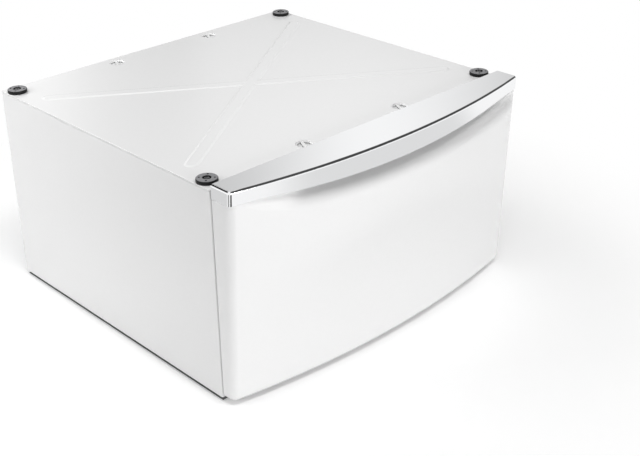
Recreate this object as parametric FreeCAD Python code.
import FreeCAD, Part
import math
import os

# Laundry pedestal: a steel cabinet with one wide drawer, for a front-loading washer or dryer.
# Millimetres. +X is to the right, the drawer opens towards -Y, +Z is up.
# The origin is on the floor, in the middle of the overall box.

V = FreeCAD.Vector
X_AXIS = V(1, 0, 0)
Y_AXIS = V(0, 1, 0)
Z_AXIS = V(0, 0, 1)

# Overall sizes
overall_width = 685.8
overall_depth = 693.7
overall_height = 393.7
floor_gap = 8.0
trim_rise = 11.0

# Sheets, clearances and cuts
panel_sheet = 1.2
top_sheet = 1.6
rail_sheet = 2.0
bend_radius = 1.6
fit_gap = 0.3
cut_overrun = 5.0

# Drawer front and its trim
front_gap = 3.0
front_bottom_z = 9.0
end_depth_top = 46.0
end_depth_bottom = 26.0
bow_top = 39.9
bow_bottom = 35.0
front_sheet = 1.5
front_corner_radius = 15.0
front_bottom_radius = 9.0
trim_proud = 0.5
trim_wall = 2.6
trim_corner_radius = 7.0
trim_edge_radius = 4.0
trim_end_height = 24.0
trim_middle_height = 37.0
trim_smile_margin = 52.9
trim_boss_radius = 4.5
trim_boss_margin = 82.9
trim_boss_setback = 22.0

# Finger scoop under the trim
scoop_end_margin = 20.9
scoop_height = 50.0
scoop_depth = 16.0
scoop_arc_radius = 180.0
scoop_edge_radius = 45.0

# Cabinet flanges and rails
side_front_flange = 30.0
side_rear_flange = 20.0
side_top_flange = 12.0
top_edge_radius = 0.8
top_seam_gap = 0.8
rail_lip = 14.0
top_rail_height = 34.0
top_rail_depth = 46.0
bottom_rail_height = 40.0
bottom_rail_depth = 64.0
foot_plate_z = 24.0
base_rail_height = 42.0
base_rail_width = 30.0
back_emboss_depth = 4.0
back_emboss_slope = 6.0
back_emboss_margin = 90.0

# Top panel stamping
bead_side_margin = 30.9
bead_row_margin = 88.0
bead_width = 26.0
bead_slope = 4.5
bead_height = 1.4
dish_row_inset = 26.0
dish_pitch = 229.0
dish_offset = 10.0
dish_radius = 15.0
dish_floor_radius = 13.0
dish_depth = 1.8
dish_hole_radius = 12.2
dish_bridge_width = 5.0
dish_bridge_angle = 65.0
dish_nest_gap = 1.0
dish_drain_radius = 3.5

# Corner pads
pad_radius = 17.6
pad_height = 6.6
pad_edge_radius = 1.4
pad_side_inset = 18.4
pad_row_inset = 28.5
pad_well_radius = 7.2
pad_well_depth = 2.4
pad_dimple_radius = 1.7
pad_dimple_depth = 1.4
pad_dimple_circle = 12.2
pad_dimple_count = 4
pad_dimple_turn = 45.0

# Fasteners
screw_head_width = 8.0
screw_head_height = 1.8
screw_shank_radius = 2.0
screw_length = 7.0
pad_screw_head_radius = 5.6
pad_screw_shank_radius = 3.0
pad_screw_spare = 2.0
pad_slot_width = 1.8
pad_slot_depth = 1.1
pad_slot_turn = 45.0
pad_nut_width = 10.0
pad_nut_height = 5.0
drawer_screw_shares = (0.12, 0.5, 0.88)
rear_screw_shares = (0.0, 0.5, 1.0)
slide_screw_shares = (0.08, 0.5, 0.9)

# Levelling feet
foot_side_inset = 52.0
foot_row_inset = 36.0
foot_base_radius = 19.0
foot_base_height = 10.0
foot_neck_radius = 9.0
foot_neck_height = 4.0
foot_sole_radius = 16.5
stud_radius = 4.75
stud_top_z = 62.0
foot_nut_width = 17.0
weld_nut_height = 8.0
lock_nut_height = 6.0

# Drawer box
box_side_gap = 44.9
box_bottom_z = 72.0
box_top_drop = 60.7
box_rear_gap = 119.8
box_flange = 15.0
box_hem = 8.0
box_hem_lip = 6.0
box_bead_width = 14.0
box_bead_height = 1.5
box_bead_count = 5
box_bead_margin = 45.0
inner_panel_rim = 12.0

# Telescopic slides: depth is measured from the cabinet side towards the drawer
slide_rise = 8.0
slide_end_gap = 18.0
slide_setback = 8.0
slide_sheet = 1.2
slide_pack = 12.7
outer_slide_height = 45.5
outer_slide_depth = 11.0
middle_slide_height = 33.1
middle_slide_start = 3.2
middle_slide_end = 11.2
drawer_slide_height = 21.2
drawer_slide_start = 6.2
slide_lip = 2.4
cage_sheet = 0.8
cage_length_share = 0.47
cage_setback_share = 0.255
outer_cage_start = 1.8
outer_cage_end = 8.6
inner_cage_start = 4.8
inner_cage_end = 9.6
ball_end_margin = 5.0
ball_count = 4
ball_sides = 8
ball_play = 0.15
support_flange = 22.0
support_web_margin = 6.0
support_slope = 8.0

# Rubber bumpers between drawer front and cabinet
bumper_radius = 6.0
bumper_inset = 14.0
bumper_low_z = 95.0
bumper_top_drop = 64.7

# Worked out from the sizes above
half_width = overall_width / 2
back_y = overall_depth / 2
cabinet_depth = overall_depth - end_depth_top - bow_top
front_y = back_y - cabinet_depth
rear_y = back_y - screw_head_height
apex_y = -overall_depth / 2
cabinet_top_z = overall_height - trim_rise
top_under_z = cabinet_top_z - top_sheet
side_top_z = top_under_z - top_seam_gap
drawer_rear_y = front_y - front_gap
trim_end_z = overall_height - trim_end_height
trim_middle_z = overall_height - trim_middle_height
trim_smile_half = half_width - trim_smile_margin
trim_boss_pitch = (half_width - trim_boss_margin) / 2
scoop_low_z = trim_end_z - scoop_height
scoop_half_width = half_width - scoop_end_margin
side_inner_x = half_width - panel_sheet
rail_half_length = half_width - side_top_flange - fit_gap
bottom_rail_half_length = side_inner_x - bend_radius - fit_gap
front_web_y = front_y + panel_sheet
back_panel_y = rear_y - panel_sheet
rear_web_y = back_panel_y - panel_sheet
bead_end_x = half_width - bead_side_margin
bead_half_run = (rear_y - front_y) / 2 - bead_row_margin
pad_x = half_width - pad_side_inset
pad_front_y = front_y + pad_row_inset
pad_rear_y = back_y - pad_row_inset
foot_x = half_width - foot_side_inset
foot_front_y = front_y + foot_row_inset
foot_rear_y = rear_y - foot_row_inset
box_half_width = half_width - box_side_gap
box_top_z = cabinet_top_z - box_top_drop
box_length = cabinet_depth - box_rear_gap
box_back_y = drawer_rear_y + box_length
slide_z = (box_bottom_z + box_top_z) / 2 + slide_rise
slide_length = box_length - slide_end_gap
slide_front_y = front_y + slide_setback
slide_outside_x = box_half_width + slide_pack
cage_length = slide_length * cage_length_share
cage_setback = slide_length * cage_setback_share
ball_pitch = (cage_length - 2 * ball_end_margin) / (ball_count - 1)
bumper_high_z = cabinet_top_z - bumper_top_drop
corner_signs = ((-1, -1, "front_left"), (1, -1, "front_right"), (-1, 1, "rear_left"), (1, 1, "rear_right"))
side_signs = ((-1, "left"), (1, "right"))


def write(name, shape):
    shape.exportStep("parts/" + name + ".step")
    print(name, len(shape.Solids), "solids", round(shape.Volume / 1000, 2), "cm3", shape.isValid())


def box(low, high):
    return Part.makeBox(high.x - low.x, high.y - low.y, high.z - low.z, low)


def rod(radius, base, axis, length):
    return Part.makeCylinder(radius, length, base, axis)


def mirrored(shape):
    return shape.mirror(V(0, 0, 0), X_AXIS)


def cut_all(shape, tools):
    return shape.cut(Part.makeCompound(tools)) if tools else shape


def turned(shape, centre, degrees):
    copy = shape.copy()
    copy.rotate(centre, Z_AXIS, degrees)
    return copy


# A sheet bent along a middle line, with rounded bends, drawn out along one axis
def bent_sheet(middle_line, axis, length, thickness, bend):
    outlines = []
    for side in (1, -1):
        outlines.append(offset_line(middle_line, axis, side * thickness / 2, bend, thickness))
    edges = list(outlines[0][0])
    back = outlines[1][0]
    edges += [Part.makeLine(outlines[0][2], outlines[1][2])]
    edges += list(reversed(back))
    edges += [Part.makeLine(outlines[1][1], outlines[0][1])]
    face = Part.Face(Part.Wire(Part.__sortEdges__(edges)))
    return face.extrude(axis * length)


def offset_line(points, axis, shift, bend, thickness):
    runs = [(points[i + 1] - points[i]).normalize() for i in range(len(points) - 1)]
    normals = [axis.cross(run) for run in runs]
    corners = [points[0] + normals[0] * shift]
    for i in range(1, len(runs)):
        spread = 1 + normals[i - 1].dot(normals[i])
        corners.append(points[i] + (normals[i - 1] + normals[i]) * (shift / spread))
    corners.append(points[-1] + normals[-1] * shift)
    edges = []
    start = corners[0]
    for i in range(1, len(runs)):
        before = runs[i - 1]
        after = runs[i]
        turn = before.getAngle(after)
        inside = axis.dot(before.cross(after)) * shift > 0
        radius = bend if inside else bend + thickness
        reach = radius * math.tan(turn / 2)
        arc_start = corners[i] - before * reach
        arc_end = corners[i] + after * reach
        towards_centre = (after - before).normalize()
        arc_middle = corners[i] + towards_centre * (radius / math.cos(turn / 2) - radius)
        edges.append(Part.makeLine(start, arc_start))
        edges.append(Part.Arc(arc_start, arc_middle, arc_end).toShape())
        start = arc_end
    edges.append(Part.makeLine(start, corners[-1]))
    return edges, corners[0], corners[-1]


def polygon(centre, reach, sides):
    points = []
    for i in range(sides + 1):
        angle = 2 * math.pi * i / sides
        points.append(centre + V(math.cos(angle), math.sin(angle), 0) * reach)
    return Part.makePolygon(points)


def hexagon(width, height, base):
    reach = width / math.sqrt(3)
    return Part.Face(polygon(base, reach, 6)).extrude(Z_AXIS * height)


def hexagon_nut(width, height, bore, base):
    hole = rod(bore, base - Z_AXIS * cut_overrun, Z_AXIS, height + 2 * cut_overrun)
    return hexagon(width, height, base).cut(hole)


# A hexagon-head screw: the head sits on the face at seat, and the shank points along axis
def screw(seat, axis):
    head = hexagon(screw_head_width, screw_head_height, -Z_AXIS * screw_head_height)
    shape = head.fuse(rod(screw_shank_radius, V(0, 0, 0), Z_AXIS, screw_length)).removeSplitter()
    shape.Placement = FreeCAD.Placement(seat, FreeCAD.Rotation(Z_AXIS, axis))
    return shape


def screw_holes(seats, axis):
    bore = screw_shank_radius + fit_gap
    return [rod(bore, seat - axis * cut_overrun, axis, screw_length + 2 * cut_overrun) for seat in seats]


def lathe(points, centre):
    outline = Part.makePolygon([V(r, 0, z) + centre for r, z in points + points[:1]])
    return Part.Face(outline).revolve(centre, Z_AXIS, 360)


# Drawer front outline: a flat back, straight ends, round corners and a bowed front that leans forward
def lean_share(z):
    return (z - front_bottom_z) / (overall_height - trim_edge_radius - front_bottom_z)


def front_arc(z):
    bow = bow_bottom + (bow_top - bow_bottom) * lean_share(z)
    end = end_depth_bottom + (end_depth_top - end_depth_bottom) * lean_share(z)
    radius = (half_width ** 2 + bow ** 2) / (2 * bow)
    centre_y = front_y - end - bow + radius
    return radius, centre_y


def front_outline(z, inset, corner_radius, rear):
    radius, centre_y = front_arc(z)
    corner_x = half_width - corner_radius
    corner_y = centre_y - math.sqrt((radius - corner_radius) ** 2 - corner_x ** 2)
    swing = math.atan2(corner_x, centre_y - corner_y)
    middle = (math.pi / 2 + swing) / 2
    bowed = radius - inset
    small = corner_radius - inset
    side_x = half_width - inset
    bow_end = V(bowed * math.sin(swing), centre_y - bowed * math.cos(swing), z)
    corner_middle = V(corner_x + small * math.sin(middle), corner_y - small * math.cos(middle), z)
    side_start = V(side_x, corner_y, z)
    side_end = V(side_x, rear, z)
    edges = [
        Part.Arc(left_of(bow_end), V(0, centre_y - bowed, z), bow_end).toShape(),
        Part.Arc(bow_end, corner_middle, side_start).toShape(),
        Part.makeLine(side_start, side_end),
        Part.makeLine(side_end, left_of(side_end)),
        Part.makeLine(left_of(side_end), left_of(side_start)),
        Part.Arc(left_of(side_start), left_of(corner_middle), left_of(bow_end)).toShape(),
    ]
    return Part.Wire(edges)


def left_of(point):
    return V(-point.x, point.y, point.z)


def front_block(inset, low_z, high_z, rear):
    wires = [front_outline(z, inset, front_corner_radius, rear) for z in (low_z, high_z)]
    block = Part.makeLoft(wires, True, True)
    block = rounded_bottom(block, low_z, rear, front_bottom_radius + trim_proud - inset)
    return softened_scoop(block.cut(scoop_ring(inset)), scoop_edge_radius + trim_proud - inset)


# The scoop is cut by a wide ring that is flatter than the bowed front, so it runs out before the ends
def scoop_ring(inset):
    radius, centre_y = front_arc(trim_end_z)
    low_radius, low_centre_y = front_arc(scoop_low_z)
    face_y = centre_y - radius + trim_proud
    lean = low_centre_y - low_radius + trim_proud - face_y
    rise = scoop_depth - lean
    chord = math.hypot(scoop_height, rise)
    reach = math.sqrt(scoop_arc_radius ** 2 - (chord / 2) ** 2)
    lift = reach * rise / chord - scoop_height / 2
    throat = math.sqrt(scoop_arc_radius ** 2 - lift ** 2)
    front_sag = radius - math.sqrt(radius ** 2 - scoop_half_width ** 2)
    ring_sag = front_sag - scoop_depth
    ring_radius = (scoop_half_width ** 2 + ring_sag ** 2) / (2 * ring_sag)
    centre = V(0, face_y + scoop_depth + ring_radius, trim_end_z + lift)
    return Part.makeTorus(ring_radius + throat, scoop_arc_radius + inset - trim_proud, centre, Z_AXIS)


def softened_scoop(block, radius):
    edges = []
    for edge in block.Edges:
        size = edge.BoundBox
        if size.XLength > scoop_half_width and size.ZLength > scoop_height / 2:
            edges.append(edge)
    return block.makeFillet(radius, edges)


def rounded_bottom(block, low_z, rear, radius):
    edges = []
    for edge in block.Edges:
        flat = abs(edge.BoundBox.ZMax - low_z) < fit_gap
        at_rear = edge.BoundBox.YMin > rear - fit_gap
        along_side = edge.BoundBox.XLength < fit_gap
        if flat and not at_rear and not along_side:
            edges.append(edge)
    return block.makeFillet(radius, edges)


def drawer_front():
    outer = front_block(trim_proud, front_bottom_z, trim_end_z, drawer_rear_y)
    inset = trim_proud + front_sheet
    low_z = front_bottom_z + front_sheet
    inner = front_block(inset, low_z, trim_end_z - front_sheet, drawer_rear_y + cut_overrun)
    shell = outer.cut(inner)
    holes = []
    for seat in trim_boss_places():
        base = seat - Z_AXIS * cut_overrun
        holes.append(rod(screw_shank_radius + fit_gap, base, Z_AXIS, 2 * cut_overrun))
    return cut_all(shell, holes)


def trim_boss_places():
    places = []
    for step in (-2, -1, 0, 1, 2):
        places.append(V(step * trim_boss_pitch, drawer_rear_y - trim_boss_setback, trim_end_z))
    return places


# The plated trim is a cap along the top of the drawer front, with a lip that hangs over the scoop
def handle_trim():
    low_z = trim_middle_z - cut_overrun
    corner = trim_corner_radius
    wires = [front_outline(z, 0, corner, drawer_rear_y) for z in (low_z, overall_height)]
    solid = Part.makeLoft(wires, True, True)
    top_edges = []
    for edge in solid.Edges:
        at_rear = edge.BoundBox.YMin > drawer_rear_y - fit_gap
        if edge.BoundBox.ZMin > overall_height - fit_gap and not at_rear:
            top_edges.append(edge)
    solid = solid.makeFillet(trim_edge_radius, top_edges)
    hollow_rear = drawer_rear_y - trim_wall
    hollow_wires = []
    for z in (low_z - cut_overrun, overall_height - trim_wall):
        hollow_wires.append(front_outline(z, trim_wall, corner, hollow_rear))
    hollow = Part.makeLoft(hollow_wires, True, True)
    shell = solid.cut(hollow).cut(below_smile()).cut(below_rear_edge())
    for seat in trim_boss_places():
        boss = rod(trim_boss_radius, seat, Z_AXIS, trim_end_height - trim_wall)
        pilot = rod(screw_shank_radius, seat - Z_AXIS * cut_overrun, Z_AXIS, cut_overrun + screw_length)
        shell = shell.fuse(boss).cut(pilot)
    return shell.removeSplitter()


def below_smile():
    y = apex_y - cut_overrun
    wide = half_width + cut_overrun
    low_z = trim_middle_z - 2 * cut_overrun
    left = V(-trim_smile_half, y, trim_end_z)
    right = V(trim_smile_half, y, trim_end_z)
    edges = [
        Part.makeLine(V(-wide, y, low_z), V(-wide, y, trim_end_z)),
        Part.makeLine(V(-wide, y, trim_end_z), left),
        Part.Arc(left, V(0, y, trim_middle_z), right).toShape(),
        Part.makeLine(right, V(wide, y, trim_end_z)),
        Part.makeLine(V(wide, y, trim_end_z), V(wide, y, low_z)),
        Part.makeLine(V(wide, y, low_z), V(-wide, y, low_z)),
    ]
    return Part.Face(Part.Wire(edges)).extrude(Y_AXIS * overall_depth)


def below_rear_edge():
    low = V(-half_width - cut_overrun, front_y - end_depth_top, trim_middle_z - 2 * cut_overrun)
    return box(low, V(half_width + cut_overrun, front_y, trim_end_z))


def trim_screws():
    heads = []
    for seat in trim_boss_places():
        heads.append(screw(seat - Z_AXIS * front_sheet, Z_AXIS))
    return Part.makeCompound(heads)


def drawer_inner_panel():
    wide = half_width - trim_proud - front_sheet - fit_gap
    low_z = front_bottom_z + front_sheet + fit_gap
    high_z = trim_end_z - front_sheet - fit_gap
    corner = front_bottom_radius - front_sheet - fit_gap
    tray = box(V(-wide, drawer_rear_y - inner_panel_rim, low_z), V(wide, drawer_rear_y, high_z))
    inset = V(panel_sheet, 0, panel_sheet)
    hollow_low = V(-wide, drawer_rear_y - inner_panel_rim - cut_overrun, low_z) + inset
    hollow = box(hollow_low, V(wide, drawer_rear_y - panel_sheet, high_z) - inset)
    tray = round_low_corners(tray, corner).cut(round_low_corners(hollow, corner - panel_sheet))
    return cut_all(tray, screw_holes(drawer_screw_seats(), -Y_AXIS))


def round_low_corners(block, radius):
    low_z = block.BoundBox.ZMin
    edges = []
    for edge in block.Edges:
        runs_back = edge.BoundBox.YLength > edge.BoundBox.XLength + edge.BoundBox.ZLength
        if runs_back and edge.BoundBox.ZMax < low_z + fit_gap:
            edges.append(edge)
    return block.makeFillet(radius, edges)


def drawer_screw_seats():
    seats = []
    for sign, _ in side_signs:
        for share in drawer_screw_shares:
            z = box_bottom_z + (box_top_z - box_bottom_z) * share
            seats.append(V(sign * (box_half_width - box_flange / 2), drawer_rear_y + panel_sheet, z))
    return seats


# Top panel: a plate with a raised cross of beads, four dished openings and the pad holes
def stadium(centre, length, width, z):
    reach = length / 2 - width / 2
    half = width / 2
    a = centre + V(-reach, -half, z)
    b = centre + V(reach, -half, z)
    c = centre + V(reach, half, z)
    d = centre + V(-reach, half, z)
    edges = [
        Part.makeLine(a, b),
        Part.Arc(b, centre + V(length / 2, 0, z), c).toShape(),
        Part.makeLine(c, d),
        Part.Arc(d, centre + V(-length / 2, 0, z), a).toShape(),
    ]
    return Part.Wire(edges)


def bead_cross(low_z, high_z, shrink):
    centre = V(0, (front_y + rear_y) / 2, 0)
    run = 2 * math.hypot(bead_end_x, bead_half_run)
    angle = math.degrees(math.atan2(bead_half_run, bead_end_x))
    low = stadium(centre, run - 2 * shrink, bead_width - 2 * shrink, low_z)
    taper = 2 * (shrink + bead_slope)
    high = stadium(centre, run - taper, bead_width - taper, high_z)
    arm = Part.makeLoft([low, high], True, True)
    return turned(arm, centre, angle).fuse(turned(arm, centre, -angle))


def dish_row(row_y, offset):
    half = dish_pitch / 2
    return [V(offset - half, row_y, 0), V(offset + half, row_y, 0)]


def front_dishes():
    return dish_row(front_y + dish_row_inset, -dish_offset)


def rear_dishes():
    return dish_row(rear_y - dish_row_inset, dish_offset)


# A pressed dish: a sloping ring from a flat rim down to a flat floor
def dish_shell(place, rim_z, depth, rim_radius, floor_radius, sheet):
    floor = rim_z - depth
    points = [
        (0, floor),
        (floor_radius, floor),
        (rim_radius, rim_z),
        (rim_radius + sheet, rim_z),
        (rim_radius + sheet, rim_z - sheet),
        (rim_radius, rim_z - sheet),
        (floor_radius, floor - sheet),
        (0, floor - sheet),
    ]
    return lathe(points, place)


def open_dish(place):
    wall = dish_shell(place, cabinet_top_z, dish_depth, dish_radius, dish_floor_radius, top_sheet)
    floor = cabinet_top_z - dish_depth
    hole = rod(dish_hole_radius, place + Z_AXIS * (floor - cut_overrun), Z_AXIS, 2 * cut_overrun)
    half = dish_bridge_width / 2
    low = place + V(-dish_radius, -half, floor - 2 * cut_overrun)
    bridge = box(low, place + V(dish_radius, half, floor + 2 * cut_overrun))
    return wall.cut(hole.cut(turned(bridge, place, dish_bridge_angle)))


def pad_places():
    places = []
    for sx, sy, name in corner_signs:
        y = pad_front_y if sy < 0 else pad_rear_y
        places.append((name, V(sx * pad_x, y, cabinet_top_z)))
    return places


def top_panel():
    plate = box(V(-half_width, front_y, top_under_z), V(half_width, rear_y, cabinet_top_z))
    upper_edges = [edge for edge in plate.Edges if edge.BoundBox.ZMin > top_under_z + top_edge_radius]
    plate = plate.makeFillet(top_edge_radius, upper_edges)
    raised_z = cabinet_top_z + bead_height
    plate = plate.fuse(bead_cross(cabinet_top_z, raised_z, 0))
    plate = plate.cut(bead_cross(top_under_z, raised_z - top_sheet, top_sheet / 2))
    for place in front_dishes() + rear_dishes():
        below = place + Z_AXIS * (top_under_z - cut_overrun)
        plate = plate.cut(rod(dish_radius, below, Z_AXIS, 2 * cut_overrun))
        plate = plate.fuse(open_dish(place))
    holes = []
    for _, place in pad_places():
        bore = pad_screw_shank_radius + fit_gap
        holes.append(rod(bore, place - Z_AXIS * cut_overrun, Z_AXIS, 2 * cut_overrun))
    return cut_all(plate, holes).removeSplitter()


def corner_pad(place):
    base_edge = pad_edge_radius / 2
    points = [
        (pad_screw_shank_radius + fit_gap, 0),
        (pad_radius - base_edge, 0),
        (pad_radius, base_edge),
        (pad_radius, pad_height - pad_edge_radius),
        (pad_radius - pad_edge_radius / 3, pad_height - pad_edge_radius / 3),
        (pad_radius - pad_edge_radius, pad_height),
        (pad_well_radius, pad_height),
        (pad_well_radius, pad_height - pad_well_depth),
        (pad_screw_shank_radius + fit_gap, pad_height - pad_well_depth),
    ]
    pad = lathe(points, place)
    dimples = []
    for i in range(pad_dimple_count):
        angle = math.radians(pad_dimple_turn) + 2 * math.pi * i / pad_dimple_count
        across = V(math.cos(angle), math.sin(angle), 0) * pad_dimple_circle
        floor = place + across + Z_AXIS * (pad_height - pad_dimple_depth)
        dimples.append(rod(pad_dimple_radius, floor, Z_AXIS, pad_dimple_depth + cut_overrun))
    return cut_all(pad, dimples)


def pad_screws():
    screws = []
    for _, place in pad_places():
        seat = place + Z_AXIS * (pad_height - pad_well_depth)
        tip = top_under_z - rail_sheet - pad_nut_height - pad_screw_spare
        head = rod(pad_screw_head_radius, seat, Z_AXIS, screw_head_height).cut(pad_screw_slot(seat))
        shank = rod(pad_screw_shank_radius, V(seat.x, seat.y, tip), Z_AXIS, seat.z - tip)
        screws.append(head.fuse(shank).removeSplitter())
    return Part.makeCompound(screws)


def pad_screw_slot(seat):
    across = pad_screw_head_radius + cut_overrun
    half = pad_slot_width / 2
    floor = screw_head_height - pad_slot_depth
    slot = box(seat + V(-across, -half, floor), seat + V(across, half, screw_head_height + cut_overrun))
    return turned(slot, seat, pad_slot_turn)


def pad_nuts():
    nuts = []
    for _, place in pad_places():
        base = V(place.x, place.y, top_under_z - rail_sheet - pad_nut_height)
        nuts.append(hexagon_nut(pad_nut_width, pad_nut_height, pad_screw_shank_radius + fit_gap, base))
    return Part.makeCompound(nuts)


# Side panel: one wall with flanges turned in at the top, front and rear
def right_side_panel():
    half_sheet = panel_sheet / 2
    wall_x = half_width - half_sheet
    flange_z = side_top_z - half_sheet
    over_line = [
        V(half_width - side_top_flange, front_y, flange_z),
        V(wall_x, front_y, flange_z),
        V(wall_x, front_y, floor_gap),
    ]
    wall = bent_sheet(over_line, Y_AXIS, rear_y - front_y, panel_sheet, bend_radius)
    plan_line = [
        V(half_width - side_front_flange, front_y + half_sheet, floor_gap),
        V(wall_x, front_y + half_sheet, floor_gap),
        V(wall_x, rear_y - half_sheet, floor_gap),
        V(half_width - side_rear_flange, rear_y - half_sheet, floor_gap),
    ]
    flange_height = side_top_z - panel_sheet - bend_radius - floor_gap
    flanges = bent_sheet(plan_line, Z_AXIS, flange_height, panel_sheet, bend_radius)
    shape = corner_rounded(wall).fuse(flanges).removeSplitter()
    seats = [seat for seat in front_screw_seats() + rear_screw_seats() if seat.x > 0]
    return cut_all(shape, screw_holes(seats, Y_AXIS))


# The outer upright corners of the wall follow the bends of the front and rear flanges
def corner_rounded(wall):
    radius = bend_radius + panel_sheet
    trimmed = wall
    for y, sign in ((front_y, 1), (rear_y, -1)):
        corner = V(half_width - radius, y + sign * radius, 0)
        block_low = V(half_width - radius, min(y, corner.y), 0)
        block_high = V(half_width + cut_overrun, max(y, corner.y), side_top_z - radius)
        keep = rod(radius, corner, Z_AXIS, overall_height)
        trimmed = trimmed.cut(box(block_low, block_high).cut(keep))
    return trimmed


def front_screw_seats():
    low = foot_plate_z + bottom_rail_height / 2
    high = top_under_z - top_rail_height / 2
    x = half_width - side_front_flange / 2 - fit_gap
    seats = []
    for sign, _ in side_signs:
        for z in (low, high):
            seats.append(V(sign * x, front_y, z))
    return seats


def rear_screw_seats():
    low = foot_plate_z + bottom_rail_height / 2
    high = top_under_z - top_rail_height / 2
    x = half_width - side_rear_flange / 2
    seats = []
    for sign, _ in side_signs:
        for share in rear_screw_shares:
            seats.append(V(sign * x, rear_y, low + (high - low) * share))
    return seats


def back_panel():
    wide = side_inner_x - bend_radius - fit_gap
    low_z = floor_gap
    high_z = side_top_z - panel_sheet - fit_gap
    sheet = box(V(-wide, rear_web_y, low_z), V(wide, back_panel_y, high_z))
    outer = emboss(back_panel_y - back_emboss_depth - panel_sheet, 0)
    inner = emboss(back_panel_y - back_emboss_depth, panel_sheet)
    sheet = sheet.fuse(outer).cut(inner)
    return cut_all(sheet, screw_holes(rear_screw_seats(), -Y_AXIS))


# A shallow rectangular field pressed into the back panel
def emboss(floor_y, shrink):
    middle_z = (floor_gap + top_under_z) / 2
    wide = half_width - back_emboss_margin - shrink
    tall = (top_under_z - floor_gap) / 2 - back_emboss_margin - shrink
    wires = []
    for y, inset in ((back_panel_y, 0), (floor_y, back_emboss_slope)):
        a = V(-wide + inset, y, middle_z - tall + inset)
        c = V(wide - inset, y, middle_z + tall - inset)
        corners = [a, V(c.x, y, a.z), c, V(a.x, y, c.z), a]
        wires.append(Part.makePolygon(corners))
    return Part.makeLoft(wires, True, True)


# Rails are bent channels that run across the cabinet behind the front flanges and the back panel
def cross_rail(line_yz, half_length):
    line = [V(-half_length, y, z) for y, z in line_yz]
    return bent_sheet(line, X_AXIS, 2 * half_length, rail_sheet, bend_radius)


def front_top_rail():
    web = front_web_y + rail_sheet / 2
    high = top_under_z - rail_sheet / 2
    low = high - top_rail_height
    line = [(web + rail_lip, low), (web, low), (web, high), (web + top_rail_depth, high)]
    line.append((web + top_rail_depth, high - rail_lip))
    rail = dished_rail(cross_rail(line, rail_half_length), front_dishes())
    return cut_all(rail, pad_bores() + screw_holes(front_screw_seats(), Y_AXIS))


def rear_top_rail():
    web = rear_web_y - rail_sheet / 2
    high = top_under_z - rail_sheet / 2
    low = high - top_rail_height
    line = [(web - rail_lip, low), (web, low), (web, high), (web - top_rail_depth, high)]
    line.append((web - top_rail_depth, high - rail_lip))
    rail = dished_rail(cross_rail(line, rail_half_length), rear_dishes())
    return cut_all(rail, pad_bores() + screw_holes(rear_screw_seats(), -Y_AXIS))


# The dishes of the top nest in dishes of the rails, each with a drain hole
def dished_rail(rail, places):
    widening = top_sheet + fit_gap
    rim_radius = dish_radius + widening
    depth = dish_depth + dish_nest_gap
    for place in places:
        below = place + Z_AXIS * (top_under_z - rail_sheet - cut_overrun)
        rail = rail.cut(rod(rim_radius, below, Z_AXIS, rail_sheet + 2 * cut_overrun))
        shell = dish_shell(place, top_under_z, depth, rim_radius, dish_floor_radius + widening, rail_sheet)
        drain_base = place + Z_AXIS * (top_under_z - depth - cut_overrun)
        rail = rail.fuse(shell.cut(rod(dish_drain_radius, drain_base, Z_AXIS, 2 * cut_overrun)))
    return rail.removeSplitter()


def pad_bores():
    bore = pad_screw_shank_radius + fit_gap
    drop = Z_AXIS * (top_sheet + rail_sheet + cut_overrun)
    return [rod(bore, place - drop, Z_AXIS, 2 * cut_overrun + top_sheet) for _, place in pad_places()]


def stud_bores(row_y):
    bore = stud_radius + fit_gap
    base_z = foot_plate_z - cut_overrun
    return [rod(bore, V(sign * foot_x, row_y, base_z), Z_AXIS, 2 * cut_overrun) for sign, _ in side_signs]


def front_bottom_rail():
    web = front_web_y + rail_sheet / 2
    low = foot_plate_z - rail_sheet / 2
    high = foot_plate_z + bottom_rail_height
    line = [(web + rail_lip, high), (web, high), (web, low), (web + bottom_rail_depth, low)]
    line.append((web + bottom_rail_depth, low + rail_lip))
    rail = cut_all(cross_rail(line, bottom_rail_half_length), stud_bores(foot_front_y))
    return cut_all(rail, screw_holes(front_screw_seats(), Y_AXIS))


def rear_bottom_rail():
    web = rear_web_y - rail_sheet / 2
    low = foot_plate_z - rail_sheet / 2
    high = foot_plate_z + bottom_rail_height
    line = [(web - rail_lip, high), (web, high), (web, low), (web - bottom_rail_depth, low)]
    line.append((web - bottom_rail_depth, low + rail_lip))
    rail = cut_all(cross_rail(line, bottom_rail_half_length), stud_bores(foot_rear_y))
    return cut_all(rail, screw_holes(rear_screw_seats(), -Y_AXIS))


def right_base_rail():
    half_sheet = rail_sheet / 2
    start_y = front_web_y + bottom_rail_depth + rail_sheet + fit_gap
    end_y = rear_web_y - bottom_rail_depth - rail_sheet - fit_gap
    wall_x = side_inner_x - half_sheet
    low = foot_plate_z - half_sheet
    line = [
        V(wall_x, start_y, low + base_rail_height),
        V(wall_x, start_y, low),
        V(wall_x - base_rail_width, start_y, low),
    ]
    return bent_sheet(line, Y_AXIS, end_y - start_y, rail_sheet, bend_radius)


def right_slide_support():
    half_sheet = panel_sheet / 2
    start_y = front_web_y + bend_radius + fit_gap
    web_x = slide_outside_x + half_sheet
    wall_x = side_inner_x - half_sheet
    web_half = outer_slide_height / 2 + support_web_margin
    foot_half = web_half + support_slope
    far = foot_half + support_flange
    line = []
    for x, z in ((wall_x, far), (wall_x, foot_half), (web_x, web_half)):
        line.append(V(x, start_y, slide_z + z))
    for x, z in ((web_x, -web_half), (wall_x, -foot_half), (wall_x, -far)):
        line.append(V(x, start_y, slide_z + z))
    return bent_sheet(line, Y_AXIS, slide_length + 2 * slide_setback, panel_sheet, bend_radius)


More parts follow.
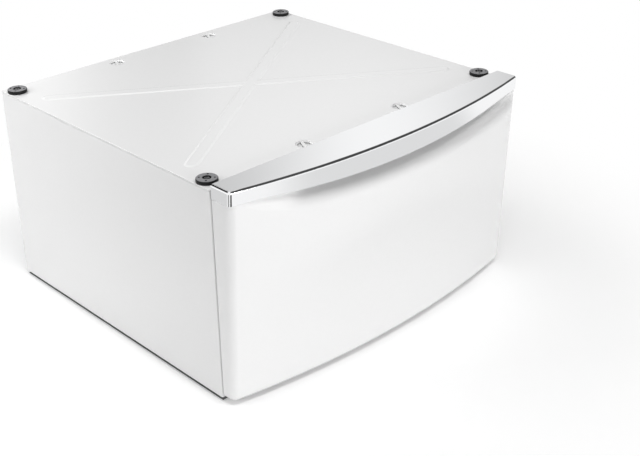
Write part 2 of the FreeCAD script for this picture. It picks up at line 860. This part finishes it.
# Telescopic slide members, drawn for the right side: depth runs from the cabinet to the drawer
def slide_channel(depth_height_line, thickness, bend, start_y, length):
    line = [V(slide_outside_x - depth, start_y, slide_z + z) for depth, z in depth_height_line]
    return bent_sheet(line, Y_AXIS, length, thickness, bend)


def slide_line(web_depth, open_depth, height, lip):
    half = slide_sheet / 2
    web = web_depth
    edge = open_depth
    top = height / 2 - half
    line = [(edge, top - lip), (edge, top), (web, top), (web, -top), (edge, -top), (edge, -top + lip)]
    return line if lip > 0 else line[1:-1]


def right_cabinet_slide():
    half = slide_sheet / 2
    line = slide_line(half, outer_slide_depth - half, outer_slide_height, slide_lip)
    return slide_channel(line, slide_sheet, slide_sheet / 2, slide_front_y, slide_length)


def right_middle_slide():
    half = slide_sheet / 2
    line = slide_line(middle_slide_start + half, middle_slide_end - half, middle_slide_height, slide_lip)
    return slide_channel(line, slide_sheet, slide_sheet / 2, slide_front_y, slide_length)


def right_drawer_slide():
    half = slide_sheet / 2
    line = slide_line(slide_pack - half, drawer_slide_start, drawer_slide_height, 0)
    channel = slide_channel(line, slide_sheet, slide_sheet / 2, slide_front_y, slide_length)
    seats = [seat for seat in slide_screw_seats() if seat.x > 0]
    return cut_all(channel, screw_holes(seats, -X_AXIS))


def slide_screw_seats():
    seats = []
    for sign, _ in side_signs:
        for share in slide_screw_shares:
            y = slide_front_y + slide_length * share
            seats.append(V(sign * (box_half_width + slide_sheet), y, slide_z))
    return seats


# A ball cage is a thin channel with a row of balls in each flange
def ball_cage(start_depth, end_depth, race_height):
    half = cage_sheet / 2
    top = race_height
    line = [(end_depth, top), (start_depth + half, top), (start_depth + half, -top), (end_depth, -top)]
    start_y = slide_front_y + cage_setback
    return slide_channel(line, cage_sheet, cage_sheet / 2, start_y, cage_length)


def caged_balls(start_depth, end_depth, race_height, radius):
    strip = ball_cage(start_depth, end_depth, race_height)
    depth = (start_depth + cage_sheet + end_depth) / 2 + cage_sheet / 2
    first_y = slide_front_y + cage_setback + ball_end_margin
    balls = []
    for i in range(ball_count):
        for side in (1, -1):
            centre = V(slide_outside_x - depth, first_y + i * ball_pitch, slide_z + side * race_height)
            hole = polygon(centre - Z_AXIS * cage_sheet, radius + ball_play, ball_sides)
            strip = strip.cut(Part.Face(hole).extrude(Z_AXIS * 2 * cage_sheet))
            balls.append(faceted_ball(centre, radius))
    return Part.makeCompound(strip.Solids + balls)


# The many small balls have few faces
def faceted_ball(centre, radius):
    step = 2 * math.pi / ball_sides
    rings = []
    for level in range(ball_sides // 2):
        angle = (level + 0.5) * step - math.pi / 2
        ring_centre = centre + Z_AXIS * radius * math.sin(angle)
        rings.append(polygon(ring_centre, radius * math.cos(angle), ball_sides))
    return Part.makeLoft(rings, True, True)


def outer_race():
    outside = outer_slide_height / 2 - slide_sheet
    inside = middle_slide_height / 2
    return (outside + inside) / 2, (outside - inside) / 2 - fit_gap


def inner_race():
    outside = middle_slide_height / 2 - slide_sheet
    inside = drawer_slide_height / 2
    return (outside + inside) / 2, (outside - inside) / 2 - fit_gap


def right_outer_ball_cage():
    height, radius = outer_race()
    return caged_balls(outer_cage_start, outer_cage_end, height, radius)


def right_inner_ball_cage():
    height, radius = inner_race()
    return caged_balls(inner_cage_start, inner_cage_end, height, radius)


# Drawer box: sides with a rolled upper edge, a back, and a beaded bottom
def right_drawer_side():
    half_sheet = panel_sheet / 2
    wall_x = box_half_width - half_sheet
    line = [
        V(wall_x - box_flange, drawer_rear_y, box_bottom_z + half_sheet),
        V(wall_x, drawer_rear_y, box_bottom_z + half_sheet),
        V(wall_x, drawer_rear_y, box_top_z - half_sheet),
        V(wall_x + box_hem, drawer_rear_y, box_top_z - half_sheet),
        V(wall_x + box_hem, drawer_rear_y, box_top_z - box_hem_lip),
    ]
    side = bent_sheet(line, Y_AXIS, box_length, panel_sheet, bend_radius)
    flange_low = V(box_half_width - box_flange, drawer_rear_y, box_bottom_z + panel_sheet)
    flange_high = V(box_half_width - half_sheet, drawer_rear_y + panel_sheet, box_top_z - bend_radius)
    side = side.fuse(box(flange_low, flange_high)).removeSplitter()
    slide_seats = [seat for seat in slide_screw_seats() if seat.x > 0]
    front_seats = [seat for seat in drawer_screw_seats() if seat.x > 0]
    side = cut_all(side, screw_holes(slide_seats, -X_AXIS))
    return cut_all(side, screw_holes(front_seats, -Y_AXIS))


def drawer_back():
    half_sheet = panel_sheet / 2
    wide = box_half_width - panel_sheet - half_sheet
    low = box_bottom_z + panel_sheet + bend_radius + fit_gap
    line = [
        V(-wide, box_back_y - box_flange, low),
        V(-wide, box_back_y - half_sheet, low),
        V(wide, box_back_y - half_sheet, low),
        V(wide, box_back_y - box_flange, low),
    ]
    return bent_sheet(line, Z_AXIS, box_top_z - bend_radius - low, panel_sheet, bend_radius)


def drawer_bottom():
    wide = box_half_width - panel_sheet - bend_radius - fit_gap
    low = box_bottom_z + panel_sheet
    start_y = drawer_rear_y + panel_sheet + fit_gap
    sheet = box(V(-wide, start_y, low), V(wide, box_back_y, low + panel_sheet))
    length = box_length - 2 * box_bead_margin
    centre_y = (start_y + box_back_y) / 2
    pitch = 2 * wide / (box_bead_count + 1)
    for i in range(box_bead_count):
        centre = V(-wide + pitch * (i + 1), centre_y, 0)
        raised = box_bead(centre, length, low + panel_sheet, 0)
        hollow = box_bead(centre, length, low, panel_sheet / 2)
        sheet = sheet.fuse(raised).cut(hollow)
    return sheet.removeSplitter()


def box_bead(centre, length, z, shrink):
    low = turned(stadium(centre, length - 2 * shrink, box_bead_width - 2 * shrink, z), centre, 90)
    taper = 2 * (shrink + box_bead_height)
    high_wire = stadium(centre, length - taper, box_bead_width - taper, z + box_bead_height)
    return Part.makeLoft([low, turned(high_wire, centre, 90)], True, True)


def levelling_foot_base(place):
    sole_edge = (foot_base_radius - foot_sole_radius) / 2
    points = [
        (0, 0),
        (foot_sole_radius, 0),
        (foot_base_radius, sole_edge),
        (foot_base_radius, foot_base_height / 2),
        (foot_neck_radius, foot_base_height),
        (foot_neck_radius, foot_base_height + foot_neck_height),
        (stud_radius, foot_base_height + foot_neck_height),
        (stud_radius, foot_base_height / 2),
        (0, foot_base_height / 2),
    ]
    return lathe(points, place)


def levelling_foot_stud(place):
    base = place + Z_AXIS * (foot_base_height / 2)
    length = stud_top_z - base.z
    stud = rod(stud_radius, base, Z_AXIS, length)
    top_edges = [edge for edge in stud.Edges if edge.BoundBox.ZMin > stud_top_z - fit_gap]
    return stud.makeChamfer(stud_radius / 4, top_edges)


def foot_places():
    places = []
    for sx, sy, name in corner_signs:
        y = foot_front_y if sy < 0 else foot_rear_y
        places.append((name, V(sx * foot_x, y, 0)))
    return places


def foot_nuts(base_z, height):
    bore = stud_radius + fit_gap
    nuts = []
    for _, place in foot_places():
        nuts.append(hexagon_nut(foot_nut_width, height, bore, V(place.x, place.y, base_z)))
    return Part.makeCompound(nuts)


def drawer_bumpers():
    thickness = front_gap - fit_gap
    bumpers = []
    for sign, _ in side_signs:
        for z in (bumper_low_z, bumper_high_z):
            base = V(sign * (half_width - bumper_inset), front_y, z)
            bumpers.append(rod(bumper_radius, base, -Y_AXIS, thickness))
    return Part.makeCompound(bumpers)


def screw_group(seats, axis):
    return Part.makeCompound([screw(seat, axis) for seat in seats])


def drawer_slide_screws():
    left = [seat for seat in slide_screw_seats() if seat.x < 0]
    right = [seat for seat in slide_screw_seats() if seat.x > 0]
    return Part.makeCompound([screw_group(left, X_AXIS), screw_group(right, -X_AXIS)])


def main():
    os.makedirs("parts", exist_ok=True)
    write("top_panel", top_panel())
    write("back_panel", back_panel())
    write("front_top_rail", front_top_rail())
    write("rear_top_rail", rear_top_rail())
    write("front_bottom_rail", front_bottom_rail())
    write("rear_bottom_rail", rear_bottom_rail())
    pairs = (
        ("side_panel", right_side_panel),
        ("base_rail", right_base_rail),
        ("slide_support", right_slide_support),
        ("cabinet_slide", right_cabinet_slide),
        ("middle_slide", right_middle_slide),
        ("drawer_slide", right_drawer_slide),
        ("outer_ball_cage", right_outer_ball_cage),
        ("inner_ball_cage", right_inner_ball_cage),
        ("drawer_side", right_drawer_side),
    )
    for name, make in pairs:
        shape = make()
        write("right_" + name, shape)
        write("left_" + name, mirrored(shape))
    for name, place in pad_places():
        write("corner_pad_" + name, corner_pad(place))
    write("pad_screws", pad_screws())
    write("pad_nuts", pad_nuts())
    write("front_rail_screws", screw_group(front_screw_seats(), Y_AXIS))
    write("back_panel_screws", screw_group(rear_screw_seats(), -Y_AXIS))
    write("drawer_bumpers", drawer_bumpers())
    for name, place in foot_places():
        write("levelling_foot_base_" + name, levelling_foot_base(place))
        write("levelling_foot_stud_" + name, levelling_foot_stud(place))
    write("foot_weld_nuts", foot_nuts(foot_plate_z, weld_nut_height))
    write("foot_lock_nuts", foot_nuts(foot_plate_z - rail_sheet - lock_nut_height, lock_nut_height))
    write("drawer_front", drawer_front())
    write("handle_trim", handle_trim())
    write("trim_screws", trim_screws())
    write("drawer_inner_panel", drawer_inner_panel())
    write("drawer_back", drawer_back())
    write("drawer_bottom", drawer_bottom())
    write("drawer_front_screws", screw_group(drawer_screw_seats(), -Y_AXIS))
    write("drawer_slide_screws", drawer_slide_screws())


main()
